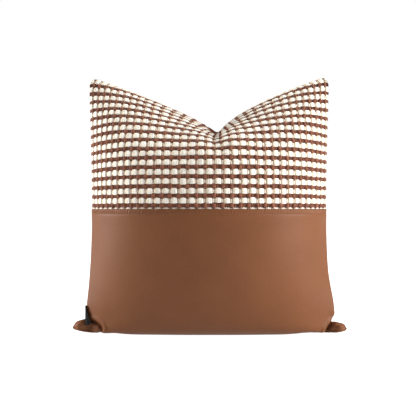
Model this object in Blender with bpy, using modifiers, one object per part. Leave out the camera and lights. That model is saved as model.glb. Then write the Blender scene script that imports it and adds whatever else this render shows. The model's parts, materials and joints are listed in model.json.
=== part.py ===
"""Throw pillow: a zipped cover in three panels over a stuffed insert.

The pillow stands on its bottom seam with a valley chopped into its top edge.
Metres, +Z up, +X to the right of someone facing the front, which looks towards -Y.
The origin is on the floor below the middle of the pillow.
"""

import math

import bpy

# Outline of the filled cover, seen from the front
WAIST_HALF_WIDTH = 0.1755       # side seam at its narrowest
WAIST_HEIGHT = 0.190
SHOULDER_FLARE = 0.004          # how much wider the side seam is at the top corners
HIP_FLARE = 0.0095              # how much wider it is near the floor
EAR_FLARE = 0.0185              # how far the pinched bottom corners reach beyond that
EAR_HEIGHT = 0.0075             # the corner tips and the bottom seam lie this high
EAR_SPREAD = 0.011
LEFT_CORNER_HEIGHT = 0.383
RIGHT_CORNER_HEIGHT = 0.385
CORNER_REACH = 0.178
LEFT_RISE_POWER = 0.82          # below 1, so that the top seam rises steeply out of the valley
RIGHT_RISE_POWER = 0.68
NOTCH_X = 0.0125                # lowest point of the valley in the top seam
NOTCH_HEIGHT = 0.302
NOTCH_ROUNDING = 0.04
VALLEY_HALF_WIDTH = 0.032

# Depth of the filled cover, front to back
HALF_DEPTH = 0.094
CROWN_POWER = 2.3               # how square the cover is from side to side
MIDDLE_SPREAD = 0.27            # how much wider the middle columns are than an even share
BASE_HALF_DEPTH = 0.0265        # the flat strip that the pillow stands on
EAR_HALF_DEPTH = 0.0035
PANEL_SEAM_HEIGHT = 0.193       # seam between the leather and the woven panel

# Fabrics
COVER_THICKNESS = 0.0012
RIM_GAP = 0.0015                # each panel's raw edge stops this far from the middle plane
PANEL_GAP = 0.0004              # between the leather and the woven panel
INSERT_THICKNESS = 0.0006
INSERT_SCALE = 0.95
FILL_SCALE = 0.93
INNER_CENTRE = (0.004, 0.24)    # x and z of the point that the inner pieces shrink towards

# Mesh density of the panels
COLUMNS = 24
LOWER_ROWS = 14                 # ten round the front of the base, four across the base strip
BASE_ROWS = 4
UPPER_ROWS = 12

# Zipper in the groove of the bottom seam
ZIPPER_HALF_LENGTH = 0.165
TAPE_INNER, TAPE_OUTER = 0.0029, 0.0135
TAPE_LOW, TAPE_HIGH = 0.0094, 0.0101
COIL_RADIUS = 0.0009
COIL_Y, COIL_Z = 0.0017, 0.0093
STOP_LENGTH = 0.003
CLEARANCE = 0.0003
SLIDER_X = 0.157
SLIDER_HALF_LENGTH = 0.005
SLIDER_HALF_WIDTH = 0.0034
PLATE_LOW, PLATE_HIGH = 0.0066, 0.0079
UPPER_PLATE_THICKNESS = 0.0006
UPPER_PLATE_SHARE = 0.8         # of the lower plate's length and width
NECK_HALF_LENGTH = 0.0015
NECK_HALF_WIDTH = 0.0004
CROWN_LOW = 0.0037
CROWN_HALF_LENGTH = 0.0036
CROWN_HALF_WIDTH = 0.0008
WINDOW_HALF_LENGTH = 0.0026     # the opening that holds the pull tab's crossbar
WINDOW_HALF_WIDTH = 0.002
CROWN_WALL = 0.0008
BITE = 0.0003                   # how far joined blocks reach into one another
PULL_Z = 0.0055                 # hinge axis of the pull tab
PULL_THICKNESS = 0.0011
PULL_LENGTH = 0.022
PULL_HALF_WIDTH = 0.0027
PULL_NECK_HALF_WIDTH = 0.9 * PULL_HALF_WIDTH
CROSSBAR_HALF_WIDTH = 0.0006
EYE_HALF_WIDTH = 0.0016
EYE_LENGTH = 0.0058
TIP_STEPS = 8

# Stitching and label
TOPSTITCH_DROP = 0.0356         # share of the leather's rows, 8 mm below the seam
THREAD_RADIUS = 0.00045
THREAD_STAND_OFF = 0.0001
THREAD_LEAN = 0.9               # share of the stand-off that turns sideways at the side seams
LABEL_LOW, LABEL_HIGH = 0.024, 0.054
LABEL_THICKNESS = 0.0009
LABEL_STAND_OFF = 0.0055        # from the leather at the height of its middle
LABEL_LEVEL = 0.57
LABEL_ACROSS = (0.98, 0.95, 0.915, 0.88)

# Name: colour, roughness and metallic
FINISHES = {
    "leather": ((0.32, 0.15, 0.085, 1.0), 0.42, 0.0),
    "woven": ((0.62, 0.50, 0.42, 1.0), 0.9, 0.0),
    "plain_back": ((0.28, 0.15, 0.10, 1.0), 0.7, 0.0),
    "insert_cloth": ((0.86, 0.85, 0.82, 1.0), 0.9, 0.0),
    "polyester_fibre": ((0.9, 0.9, 0.9, 1.0), 1.0, 0.0),
    "brown_thread": ((0.20, 0.09, 0.05, 1.0), 0.6, 0.0),
    "zipper_tape": ((0.20, 0.10, 0.06, 1.0), 0.85, 0.0),
    "zipper_nylon": ((0.12, 0.06, 0.04, 1.0), 0.45, 0.0),
    "zipper_metal": ((0.45, 0.36, 0.26, 1.0), 0.35, 1.0),
    "black_label": ((0.01, 0.01, 0.01, 1.0), 0.35, 0.0),
}


def smooth_step(low, high, value):
    share = min(1.0, max(0.0, (value - low) / (high - low)))
    return share * share * (3 - 2 * share)


def side_seam_x(height):
    """Half width of the cover at this height, without the pinched bottom corners."""
    above = max(0.0, height - WAIST_HEIGHT) / WAIST_HEIGHT
    below = max(0.0, WAIST_HEIGHT - height) / WAIST_HEIGHT
    return WAIST_HALF_WIDTH + SHOULDER_FLARE * above ** 2 + HIP_FLARE * below ** 1.7


def ear_flare(height):
    return EAR_FLARE * math.exp(-((height - EAR_HEIGHT) / EAR_SPREAD) ** 2)


def top_seam_z(x):
    """Height of the top seam: two horns with the chopped valley between them."""
    left = x < NOTCH_X
    corner = LEFT_CORNER_HEIGHT if left else RIGHT_CORNER_HEIGHT
    reach = CORNER_REACH + NOTCH_X if left else CORNER_REACH - NOTCH_X
    share = min(1.0, abs(x - NOTCH_X) / reach)
    power = LEFT_RISE_POWER if left else RIGHT_RISE_POWER
    rounded = math.hypot(share, NOTCH_ROUNDING) - NOTCH_ROUNDING * (1 - share)
    return NOTCH_HEIGHT + (corner - NOTCH_HEIGHT) * rounded ** power


def base_profile(base, drop):
    """Distance from the middle plane and lift share along the base strip, drop from 0 to 1."""
    stops = ((0.0, 1.0, 0.0), (0.5, 0.35, 0.0), (0.75, 0.27, 1.0), (1.0, 0.12, 1.0))
    for (drop_a, y_a, lift_a), (drop_b, y_b, lift_b) in zip(stops, stops[1:]):
        if drop <= drop_b:
            share = (drop - drop_a) / (drop_b - drop_a)
            return base * (y_a + (y_b - y_a) * share), lift_a + (lift_b - lift_a) * share
    return base * stops[-1][1], 1.0


def cover_point(across, level, ears=1.0):
    """Point on the front half of the cover's outer surface.

    across runs from -1 to 1 between the side seams. level is 0 at the bottom seam,
    1 at the seam between the two front panels and 2 at the top seam.
    """
    crown = 1 - abs(across) ** CROWN_POWER
    depth = HALF_DEPTH * crown
    if level >= 1:
        rise = 1 - (2 - level) ** 1.8
        top_x = CORNER_REACH * across * (1.12 - 0.12 * across ** 2)
        z = PANEL_SEAM_HEIGHT + (top_seam_z(top_x) - PANEL_SEAM_HEIGHT) * rise
        valley = math.exp(-((top_x - NOTCH_X) / VALLEY_HALF_WIDTH) ** 2)
        y = depth * (1 - rise ** (3.7 + 9 * valley))
        spread = MIDDLE_SPREAD - 0.15 * rise ** 3
        half_width = side_seam_x(z)
    else:
        low = EAR_HEIGHT * smooth_step(0.88, 1.0, abs(across))
        base = EAR_HALF_DEPTH + (BASE_HALF_DEPTH - EAR_HALF_DEPTH) * crown ** 0.7
        turn = min(1.0, (1 - level) * LOWER_ROWS / (LOWER_ROWS - BASE_ROWS)) * math.pi / 2
        z = low + (PANEL_SEAM_HEIGHT - low) * (1 - math.sin(turn))
        y = base + (depth - base) * math.cos(turn)
        strip = 1 - level * LOWER_ROWS / BASE_ROWS
        if strip > 0:
            y, lift = base_profile(base, strip)
            z = low + (EAR_HEIGHT - low) * lift
        spread = MIDDLE_SPREAD - 0.17 * math.sin(turn)
        half_width = side_seam_x(z) + ears * ear_flare(max(z, low)) * math.sin(turn) ** 2
    x = half_width * across * (1 + spread * (1 - across ** 2))
    return x, y, z


def material(name):
    """The finish with this name, made the first time that it is asked for."""
    made = bpy.data.materials.get(name)
    if made:
        return made
    color, roughness, metallic = FINISHES[name]
    made = bpy.data.materials.new(name)
    made.use_nodes = True
    shader = made.node_tree.nodes["Principled BSDF"]
    shader.inputs["Base Color"].default_value = color
    shader.inputs["Roughness"].default_value = roughness
    shader.inputs["Metallic"].default_value = metallic
    return made


def file_in(obj, collection, finish=None):
    """Moves the object to the collection, and gives it its material if one is named."""
    for holder in list(obj.users_collection):
        holder.objects.unlink(obj)
    collection.objects.link(obj)
    if finish:
        obj.data.materials.clear()
        obj.data.materials.append(material(finish))


def column_across(column):
    """Columns lie a little closer together towards the side seams."""
    return 0.6 * column + 0.4 * math.sin(column * math.pi / 2)


def cover_grid(name, levels, side, scale=1.0, gap=RIM_GAP, ears=1.0, flat_rim=False):
    """An open grid over the levels given. side is -1 for the front and 1 for the back.

    flat_rim puts the grid's edge on the middle plane, ready for a Mirror.
    """
    bpy.ops.mesh.primitive_grid_add(
        x_subdivisions=COLUMNS, y_subdivisions=len(levels) - 1, size=2
    )
    obj = bpy.context.object
    obj.name = name
    obj.data.name = name
    centre_x, centre_z = INNER_CENTRE
    for vertex in obj.data.vertices:
        on_rim = max(abs(vertex.co.x), abs(vertex.co.y)) > 0.999
        row = round((vertex.co.y + 1) / 2 * (len(levels) - 1))
        x, y, z = cover_point(column_across(vertex.co.x), levels[row], ears)
        if flat_rim and on_rim:
            y = 0.0
        vertex.co = (
            centre_x + scale * (x - centre_x),
            side * (gap + scale * y),
            centre_z + scale * (z - centre_z),
        )
    if side > 0:
        obj.data.flip_normals()
    obj.data.shade_smooth()
    return obj


def add_thickness(obj, thickness):
    solid = obj.modifiers.new("Thickness", "SOLIDIFY")
    solid.thickness = thickness
    solid.offset = -1


def even_levels(start, rows):
    """Levels from start to start + 1, one for each end of this many rows."""
    return [start + row / rows for row in range(rows + 1)]


def build_cover(parts):
    lower = even_levels(0, LOWER_ROWS)
    upper = even_levels(1, UPPER_ROWS)
    edge = PANEL_GAP / 2 / PANEL_SEAM_HEIGHT
    pieces = (
        ("front_leather_panel", lower[:-1] + [1 - edge], -1, "leather"),
        ("front_woven_panel", [1 + edge / 2] + upper[1:], -1, "woven"),
        ("back_panel", lower + upper[1:], 1, "plain_back"),
    )
    for name, levels, side, finish in pieces:
        panel = cover_grid(name, levels, side)
        add_thickness(panel, COVER_THICKNESS)
        file_in(panel, parts, finish)


def build_insert(parts):
    lower = even_levels(0, LOWER_ROWS)
    upper = even_levels(1, UPPER_ROWS // 2)
    levels = [0.0] + lower[BASE_ROWS::2] + upper[1:]
    for name, side in (("insert_front_shell", -1), ("insert_back_shell", 1)):
        shell = cover_grid(name, levels, side, INSERT_SCALE, gap=0.001, ears=0)
        add_thickness(shell, INSERT_THICKNESS)
        file_in(shell, parts, "insert_cloth")
    fill = cover_grid("insert_fill", levels, -1, FILL_SCALE, gap=0.0, ears=0, flat_rim=True)
    mirror = fill.modifiers.new("Back half", "MIRROR")
    mirror.use_axis = (False, True, False)
    mirror.merge_threshold = 0.0001
    file_in(fill, parts, "polyester_fibre")


def add_outline(curve, points, cyclic):
    """A straight-sided spline through the points, in the curve."""
    spline = curve.splines.new("POLY")
    spline.points.add(len(points) - 1)
    for control, point in zip(spline.points, points):
        control.co = (*point, 1.0)
    spline.use_cyclic_u = cyclic


def flat_plate(name, outlines, thickness, place, collection, finish):
    """A plate parallel to the floor. Outlines inside the first one are holes."""
    curve = bpy.data.curves.new(name, "CURVE")
    curve.dimensions = "2D"
    curve.fill_mode = "BOTH"
    curve.extrude = thickness / 2
    for outline in outlines:
        add_outline(curve, [(x, y, 0.0) for x, y in outline], cyclic=True)
    curve.materials.append(material(finish))
    obj = bpy.data.objects.new(name, curve)
    obj.location = place
    collection.objects.link(obj)


def thread(name, points, radius, collection, finish):
    """A thread or cord through the points, as a tube with closed ends."""
    curve = bpy.data.curves.new(name, "CURVE")
    curve.dimensions = "3D"
    curve.bevel_depth = radius
    curve.bevel_resolution = 1
    curve.use_fill_caps = True
    add_outline(curve, points, cyclic=False)
    curve.materials.append(material(finish))
    obj = bpy.data.objects.new(name, curve)
    collection.objects.link(obj)


def build_topstitch(parts):
    """One thread along the top of the leather, lying just proud of it."""
    proud = THREAD_RADIUS + CLEARANCE + THREAD_STAND_OFF
    points = []
    for step in range(1, COLUMNS):
        across = column_across(2 * step / COLUMNS - 1)
        x, y, z = cover_point(across, 1 - TOPSTITCH_DROP)
        points.append((x + THREAD_LEAN * across * proud, -(RIM_GAP + y + proud), z))
    thread("panel_topstitch", points, THREAD_RADIUS, parts, "brown_thread")


def block(name, low, high, collection, finish=None):
    """A box between two corners, with its scale applied."""
    bpy.ops.mesh.primitive_cube_add(size=1)
    obj = bpy.context.object
    obj.name = name
    obj.data.name = name
    for vertex in obj.data.vertices:
        vertex.co = [low[i] + (vertex.co[i] + 0.5) * (high[i] - low[i]) for i in range(3)]
    file_in(obj, collection, finish)
    return obj


def helper(obj):
    obj.hide_render = True
    obj.display_type = "WIRE"
    return obj


def combine(target, other, operation):
    cut = target.modifiers.new(other.name, "BOOLEAN")
    cut.operation = operation
    cut.object = helper(other)


def set_origin(obj, origin):
    """Moves the object's origin to the point without moving its shape."""
    for vertex in obj.data.vertices:
        vertex.co = [vertex.co[i] - origin[i] for i in range(3)]
    obj.location = origin


def build_zipper(parts, cutters):
    length = ZIPPER_HALF_LENGTH
    for name, side in (("front", -1), ("back", 1)):
        low_y, high_y = sorted((side * TAPE_INNER, side * TAPE_OUTER))
        block(f"zipper_tape_{name}", (-length, low_y, TAPE_LOW), (length, high_y, TAPE_HIGH),
              parts, "zipper_tape")
        ends = [(x, side * COIL_Y, COIL_Z) for x in (-length, length)]
        thread(f"zipper_coil_{name}", ends, COIL_RADIUS, parts, "zipper_nylon")
    for name, side in (("top", 1), ("bottom", -1)):
        inner = side * (length + CLEARANCE)
        outer = side * (length + CLEARANCE + STOP_LENGTH)
        low_x, high_x = sorted((inner, outer))
        block(f"zipper_{name}_stop", (low_x, -TAPE_INNER, COIL_Z - COIL_RADIUS),
              (high_x, TAPE_INNER, COIL_Z + COIL_RADIUS), parts, "zipper_metal")
    build_slider(parts, cutters)
    build_pull(parts)


def centred_block(name, half_length, half_width, low, high, collection, finish=None):
    """A box on the middle plane at the slider's place, between two heights."""
    return block(name, (SLIDER_X - half_length, -half_width, low),
                 (SLIDER_X + half_length, half_width, high), collection, finish)


def build_slider(parts, cutters):
    """Two plates joined by a neck between the coils, with the pull tab's crown below."""
    upper_low = COIL_Z + COIL_RADIUS + CLEARANCE
    slider = centred_block("zipper_slider", SLIDER_HALF_LENGTH, SLIDER_HALF_WIDTH,
                           PLATE_LOW, PLATE_HIGH, parts, "zipper_metal")
    neck = centred_block("slider_neck", NECK_HALF_LENGTH, NECK_HALF_WIDTH,
                         PLATE_LOW + BITE, upper_low + BITE, cutters)
    upper = centred_block("slider_upper_plate", SLIDER_HALF_LENGTH * UPPER_PLATE_SHARE,
                          SLIDER_HALF_WIDTH * UPPER_PLATE_SHARE,
                          upper_low, upper_low + UPPER_PLATE_THICKNESS, cutters)
    crown = centred_block("slider_crown", CROWN_HALF_LENGTH, CROWN_HALF_WIDTH,
                          CROWN_LOW, PLATE_LOW + BITE, cutters)
    window = centred_block("slider_window", WINDOW_HALF_LENGTH, WINDOW_HALF_WIDTH,
                           CROWN_LOW + CROWN_WALL, PLATE_LOW - 0.00005, cutters)
    combine(crown, window, "DIFFERENCE")
    for piece in (neck, upper, crown):
        combine(slider, piece, "UNION")
    set_origin(slider, (SLIDER_X, 0.0, PLATE_LOW))


def build_pull(parts):
    """A flat tab whose crossbar passes through the slider's crown."""
    bar, wide = CROSSBAR_HALF_WIDTH, PULL_HALF_WIDTH
    outer = [(bar, PULL_NECK_HALF_WIDTH), (bar, -PULL_NECK_HALF_WIDTH)]
    for step in range(TIP_STEPS + 1):
        turn = math.pi * (step / TIP_STEPS - 0.5)
        outer.append((-PULL_LENGTH + wide * (1 - math.cos(turn)), wide * math.sin(turn)))
    eye = [(-bar, EYE_HALF_WIDTH), (-bar, -EYE_HALF_WIDTH),
           (-EYE_LENGTH, -EYE_HALF_WIDTH), (-EYE_LENGTH, EYE_HALF_WIDTH)]
    flat_plate("zipper_pull_tab", (outer, eye), PULL_THICKNESS, (SLIDER_X, 0.0, PULL_Z),
               parts, "zipper_metal")


def build_label(parts):
    """A folded blank label sewn into the left side seam, curling round to the front."""
    near, far = [], []
    for across in LABEL_ACROSS:
        x, y, _ = cover_point(-across, LABEL_LEVEL)
        near.append((x - LABEL_STAND_OFF, -(RIM_GAP + y)))
        far.append((x - LABEL_STAND_OFF - LABEL_THICKNESS, -(RIM_GAP + y)))
    flat_plate("side_label", (near + far[::-1],), LABEL_HIGH - LABEL_LOW,
               (0.0, 0.0, (LABEL_LOW + LABEL_HIGH) / 2), parts, "black_label")


def main():
    for obj in list(bpy.data.objects):
        bpy.data.objects.remove(obj)
    parts = bpy.data.collections.new("throw_pillow")
    cutters = bpy.data.collections.new("cutters")
    for collection in (parts, cutters):
        bpy.context.scene.collection.children.link(collection)
    build_cover(parts)
    build_insert(parts)
    build_topstitch(parts)
    build_zipper(parts, cutters)
    build_label(parts)


main()
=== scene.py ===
"""Looks of a throw pillow: a simulated pillowcase that carries a real weave of yarns.

The case is a closed sheet of two square panels. A cloth simulation fills it with its seams
held, on a floor and under a wedge that chops its top edge. Every visible piece is then laid on
that surface by its place on the flat panel: across runs from -1 to 1 between the side seams,
up runs from 0 at the bottom seam through 1 at the seam of the two front panels to 2 at the top
seam, and lift is a height above the surface. All lengths are metres.
"""

import json
import math

import bmesh
import bpy
import numpy as np
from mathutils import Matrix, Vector

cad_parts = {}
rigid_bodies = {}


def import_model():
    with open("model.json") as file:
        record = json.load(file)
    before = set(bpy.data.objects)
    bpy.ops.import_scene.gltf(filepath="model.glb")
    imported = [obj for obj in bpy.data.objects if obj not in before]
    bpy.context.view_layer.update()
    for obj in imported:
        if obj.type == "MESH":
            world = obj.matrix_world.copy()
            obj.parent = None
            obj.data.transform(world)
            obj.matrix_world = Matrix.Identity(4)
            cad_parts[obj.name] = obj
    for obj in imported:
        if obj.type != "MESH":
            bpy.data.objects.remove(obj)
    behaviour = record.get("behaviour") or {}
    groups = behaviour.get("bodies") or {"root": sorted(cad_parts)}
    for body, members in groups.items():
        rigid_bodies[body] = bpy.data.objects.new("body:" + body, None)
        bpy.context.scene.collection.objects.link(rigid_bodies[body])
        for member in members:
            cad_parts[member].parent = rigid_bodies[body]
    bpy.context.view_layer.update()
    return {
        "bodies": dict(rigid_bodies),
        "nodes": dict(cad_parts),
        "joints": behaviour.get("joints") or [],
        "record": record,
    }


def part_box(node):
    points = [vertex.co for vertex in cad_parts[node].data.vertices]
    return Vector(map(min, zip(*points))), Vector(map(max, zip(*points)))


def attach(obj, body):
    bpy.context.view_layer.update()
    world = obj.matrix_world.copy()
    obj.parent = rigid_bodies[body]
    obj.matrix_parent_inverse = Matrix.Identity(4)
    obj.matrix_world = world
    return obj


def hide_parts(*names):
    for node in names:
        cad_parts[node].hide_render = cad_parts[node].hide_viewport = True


# Seams of the filled case, seen from the front, as (x, z) on the right side
EAR_TIP = {"left": (0.2060, 0.0105), "right": (0.2080, 0.0082)}
EAR_TOP = {  # the side seam round each bottom corner's flap
    "left": ((0.2056, 0.0132), (0.2030, 0.0165), (0.1980, 0.0188), (0.1915, 0.0198),
             (0.1850, 0.0205), (0.1845, 0.0240)),
    "right": ((0.2080, 0.0112), (0.2052, 0.0137), (0.1990, 0.0149), (0.1920, 0.0149),
              (0.1856, 0.0138), (0.1846, 0.0170), (0.1864, 0.0240)),
}
SIDE_SEAM = ((0.1865, 0.0330), (0.1850, 0.0500), (0.1815, 0.0800), (0.1780, 0.1250),
             (0.1760, 0.1800), (0.1765, 0.2600), (0.1780, 0.3300))
BOTTOM_SEAM = {
    "left": ((0.2050, 0.0068), (0.2010, 0.0048), (0.1900, 0.0028), (0.1800, 0.0018),
             (0.1700, 0.0028), (0.1500, 0.0065)),
    "right": ((0.2074, 0.0052), (0.2025, 0.0026), (0.1920, 0.0014), (0.1800, 0.0014),
              (0.1700, 0.0028), (0.1500, 0.0065)),
}
WAIST_HALF_WIDTH = 0.1755
SHOULDER_FLARE = 0.0040
HIP_FLARE = 0.0095
BOTTOM_SEAM_Z = 0.0075
PANEL_SEAM_Z = 0.1930
CORNER_REACH = 0.1795
CORNER_Z = {"left": 0.3870, "right": 0.3890}
CORNER_PULL = 0.0060  # how far each top corner is rounded off
NOTCH_X = 0.0125
NOTCH_Z = 0.2985
NOTCH_ROUNDING = 0.012
RISE_POWER = {"left": 0.77, "right": 0.67}
RIGHT_HIP = 0.0046  # the right side stands a little further out near the floor

# Fullness of the case, and its flat panels
HALF_DEPTH = 0.094
BASE_HALF_DEPTH = 0.025
FLAT_HALF = 0.225  # metres for each unit of across and of up
COLUMN_POINTS = 200
MIDDLE_Z = 0.19  # between the shoulders and the hips
BULGE = 0.27  # how far the columns spread from the middle
SQUARENESS = (3.7, 9)  # of the top edge away from the notch, and what the notch adds
SQUARE_REACH = 0.032
TAKE_UP = 0.06  # share by which filling shortens the seams

# Cloth simulation
CELLS = 48
FRAMES = 28
PRESSURE = 100.0
WEDGE_REACH = (-0.085, 0.075)
WEDGE_LIFT = 0.003
WEDGE_DROP = 0.006
WEDGE_HALF_DEPTH = 0.16
REFINE = 8

# Seams, lips and corner folds of the finished case
FLOOR_CLEARANCE = 0.0010  # room for the leather's own thickness
EAR_CREASES = {  # (x, z) along each fold, its depth and its half width
    "left": ((((0.1860, 0.0190), (0.1760, 0.0185), (0.1665, 0.0155), (0.1610, 0.0095), (0.1640, 0.0010)),
              0.0050, 0.0024),
             (((0.2000, 0.0095), (0.1900, 0.0060), (0.1790, 0.0030)), 0.0016, 0.0013),
             (((0.1990, 0.0140), (0.1920, 0.0135), (0.1850, 0.0120)), 0.0010, 0.0012)),
    "right": ((((0.1860, 0.0175), (0.1825, 0.0125), (0.1785, 0.0070), (0.1745, 0.0000)), 0.0055, 0.0022),
              (((0.2035, 0.0085), (0.1950, 0.0055), (0.1850, 0.0030)), 0.0035, 0.0018),
              (((0.2000, 0.0130), (0.1940, 0.0120), (0.1880, 0.0090)), 0.0018, 0.0013)),
}
EAR_CENTRE = (0.1930, 0.0095)
EAR_RADII = (0.0160, 0.0100)
EAR_HALF_DEPTH = 0.0095
EAR_CELLS = 4  # coarse cells along each seam of a flap
EAR_FORWARD = 0.0040
EAR_LEAN_FROM = (0.1830, 0.1990)
EAR_LEAN_Z = (0.012, 0.030)
EAR_RIM = 0.35  # height of the rims beside each fold, as a share of its depth
EAR_RIM_AT = 2.2  # how far out they lie, in half widths of the fold
PINCH_X = (0.1800, 0.1880)  # where the bottom flattens into the flaps
SETTLE_Z = (0.004, 0.030)  # heights between which the bottom is brought to the floor
FRONT_SEAM_Z = 0.1874  # the panel seam lies in a plane that rises towards the front
FRONT_SEAM_RISE = 0.0963
NOTCH_REACH = 0.014
NOTCH_ROWS = 14
ROLL_ROWS = 34
ROLL_X = 0.0062  # where the top seam rolls to the front, and how far
ROLL_HALF_WIDTH = 0.0070
ROLL_FORWARD = 0.0060
ROLL_DROP = 0.0070
RIDGE_RISE = 0.0028  # of the back panel behind the rolled seam
SEAM_DEPTH = 0.0025
SEAM_HALF_GAP = 0.0004
SEAM_SHOULDER = 0.25  # share of the depth by which the next points follow
SEAM_TO_MIDDLE = 0.02  # how much a seam turns towards the middle of the case
LIP = 0.0046  # half width of the zipper's opening
LIP_REACH = 0.16  # share of up over which the opening closes
ZIP_END = (0.900, 0.960)  # across, where the opening closes, clear of the pull tab

# Weave
COLUMNS = 35
ROW_PITCH = 0.0147
BROWN_START = 0.0055
CREAM_START = -0.00185
ROWS = 15
BACKING_LIFT = -0.0020
BEAD_HALF = 0.0045
BEAD_TOP = 0.0015
CREAM_GAP_HALF = 0.0034
CREAM_GAP_TOP = 0.0003
CREAM_GAP_SAG = 0.0008  # the low stretches lie a little below the beads' centres
CORD_HALF = 0.0031
CORD_TOP = 0.0007
KNOT_HALF = 0.0040
KNOT_TOP = 0.0022
DIP_HALF = 0.0023  # between a knot and a link
DIP_TOP = -0.0008
KNOT_SAG = 0.0003
RING = 12
YARN_GIRTH = 0.02  # texture length around any yarn
FACE_PITCH = 0.945  # rows on the open face, as a share of their flat pitch
SLACK_START = 0.100
LEAN = {"left": 0.018, "right": 0.009}  # how far the columns beside the notch lean into it
LEAN_FROM, LEAN_TO = 0.026, 0.100  # distances from the notch
LEAN_DEPTH, LEAN_END = 0.110, 0.018  # distances from the top seam
CREAM_STEPS = (0.12, 0.27, 0.32, 0.345, 0.36, 0.41)  # sections of a bead, from its centre
BROWN_STEPS = (0.06, 0.17, 0.22, 0.27, 0.34, 0.42)
TUCKED_TOP = 0.0016  # the lowest cream row lies under the leather's edge
CREAM_POWER, BROWN_POWER, WARP_POWER = 0.4, 0.9, 0.75  # roundness of a section, from 0 to 1
YARN_SINK = 0.0004  # how far a weft reaches into the backing
SEAM_SINK = 0.0008  # how far it dips at the seams
ROW_SHIFT = 32  # beads by which the fibres of each row move on
SWAY = 0.0003  # how far a weft wanders from its row
BEAD_SHAPE = (0.352, 7)  # half width in columns, and how square the bulge is
KNOT_SHAPE = (0.30, 2.6)
LINK_SHAPE = (0.19, 4)
WARP_START = -0.004
WARP_OVER = {"brown": 0.0030, "cream": 0.0038}  # half length of a warp's stretch over a weft
WARP_SHOULDER = 0.0006
WARP_THICKNESS = 0.0008
WARP_SWAY = 0.02  # in columns
WARP_SHIFT = 0.13
WARP_REACH = 0.992  # across, where the last warp lies

# Sheets, leather and stitches
SHEET_CELLS = 216
GATHER = 0.13  # how much closer the cells of a sheet lie at its sides
LEATHER_COLUMNS = 420
LEATHER_ROWS = 70
LEATHER_THICKNESS = 0.0010
FOLD_HEIGHT, FOLD_RADIUS = 0.0013, 0.0016
GROOVE_DEPTH, GROOVE_HALF_WIDTH = 0.00035, 0.0011
PLAIN_DROP, PLAIN_FROM = 0.0005, (0.010, 0.030)  # the panel below the stitches lies lower
TURN_DROP, TURN_FADE = 0.0006, 0.0004  # of the very edge, where it turns under
PUCKER = 0.00050  # height of the small waves that the stitches draw in the leather
PUCKER_DROP = 0.0042
PUCKER_SPREAD = 0.0030
PUCKER_SLANT = 0.012
SCALLOP, SCALLOP_FADE = 0.00012, 0.004
STITCH_DROP = 0.0080
STITCH_LENGTH = 0.0031
STITCH_GAP = 0.0007
STITCH_REACH = 0.985  # across, where the last stitch lies
THREAD_RISE = 0.0006

# Label, as the two ends of its rows: (seam edge, control point, free edge)
LABEL_TOP = np.array([(-0.1835, 0, 0.0412), (-0.1892, -0.0030, 0.0412), (-0.1852, -0.0060, 0.0412)])
LABEL_FOOT = np.array([(-0.1835, 0, 0.0165), (-0.1930, -0.0140, 0.0100), (-0.1768, -0.0170, 0.0155)])
LABEL_SPREAD = 1.4
LABEL_THICKNESS = 0.0006

# Zipper
COIL_PITCH = 0.0015
COIL_HALF_WIDTH, COIL_HALF_HEIGHT = 1.25 * 0.00095, 0.75 * 0.00095
COIL_WIRE = 0.00028
COIL_END = 0.001
TAPE_HALF, TAPE_EDGE = 0.00028, 0.00022  # half thickness, and what the coil's edge adds
TAPE_RIPPLE = 0.00025

# Insert
INSERT_CELLS = 96
INSERT_CENTRE = np.array([0.004, 0, 0.24])
INSERT_REACH = 0.162  # half width, clear of the corner flaps
INSERT_GAP = 0.004
INSERT_LIFT = -0.0015

# Studio
TARGET = Vector((-0.0016, 0, 0.1886))
CAMERA_DISTANCE = 2.2
CAMERA_ELEVATION = math.radians(5.5)
VIEW_WIDTH = 0.624
SENSOR = 36
FLOOR_CORNERS = ((-6, -4, 0), (6, -4, 0), (6, 8, 0), (-6, 8, 0))
FLOOR_SEEN = 0.97
FLOOR_LIGHT = 0.78
WORLD_LIGHT = 0.10
LIGHT_AIM = Vector((0, 0, 0.2))
LIGHTS = {  # place, width and height, and power in watts
    "left_box": ((-1.9, 0.05, 0.6), (1.0, 1.5), 96),
    "right_box": ((1.75, -0.68, 0.6), (1.0, 1.5), 106),
    "top_box": ((0, -0.15, 2.2), (1.4, 1.0), 30),
}

SEED = 7
SIDES = (("front", -1), ("back", 1))
EDGES = (np.s_[0], np.s_[-1], np.s_[:, 0], np.s_[:, -1])
INNER = np.s_[1:-1, 1:-1]


def smooth_step(low, high, value):
    share = np.clip((value - low) / (high - low), 0, 1)
    return share * share * (3 - 2 * share)


def smooth_curve(points, per_span):
    """A Catmull-Rom curve through the points, which lie along the first axis."""
    points = np.asarray(points, float)
    before = np.concatenate([2 * points[:1] - points[1:2], points[:-2]])
    after = np.concatenate([points[2:], 2 * points[-1:] - points[-2:-1]])
    start, end = points[:-1], points[1:]
    made = []
    for share in np.arange(per_span) / per_span:
        made.append(0.5 * (2 * start + (end - before) * share
                           + (2 * before - 5 * start + 4 * end - after) * share ** 2
                           + (3 * start - before - 3 * end + after) * share ** 3))
    made = np.stack(made, axis=1).reshape(-1, *points.shape[1:])
    return np.concatenate([made, points[-1:]])


def along(line, shares):
    """Points of the polyline at these shares of its length."""
    steps = np.linalg.norm(np.diff(line, axis=0), axis=1)
    length = np.concatenate([[0], np.cumsum(steps)]) / max(steps.sum(), 1e-9)
    return np.stack([np.interp(shares, length, axis) for axis in line.T], axis=1)


def bilinear(values, i, j):
    """The grid's values at fractional indices i and j."""
    i0 = np.minimum(i.astype(int), values.shape[0] - 2)
    j0 = np.minimum(j.astype(int), values.shape[1] - 2)
    s, t = i - i0, j - j0
    if values.ndim > 2:
        s, t = s[..., None], t[..., None]
    low = values[i0, j0] * (1 - s) + values[i0 + 1, j0] * s
    high = values[i0, j0 + 1] * (1 - s) + values[i0 + 1, j0 + 1] * s
    return low * (1 - t) + high * t


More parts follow.
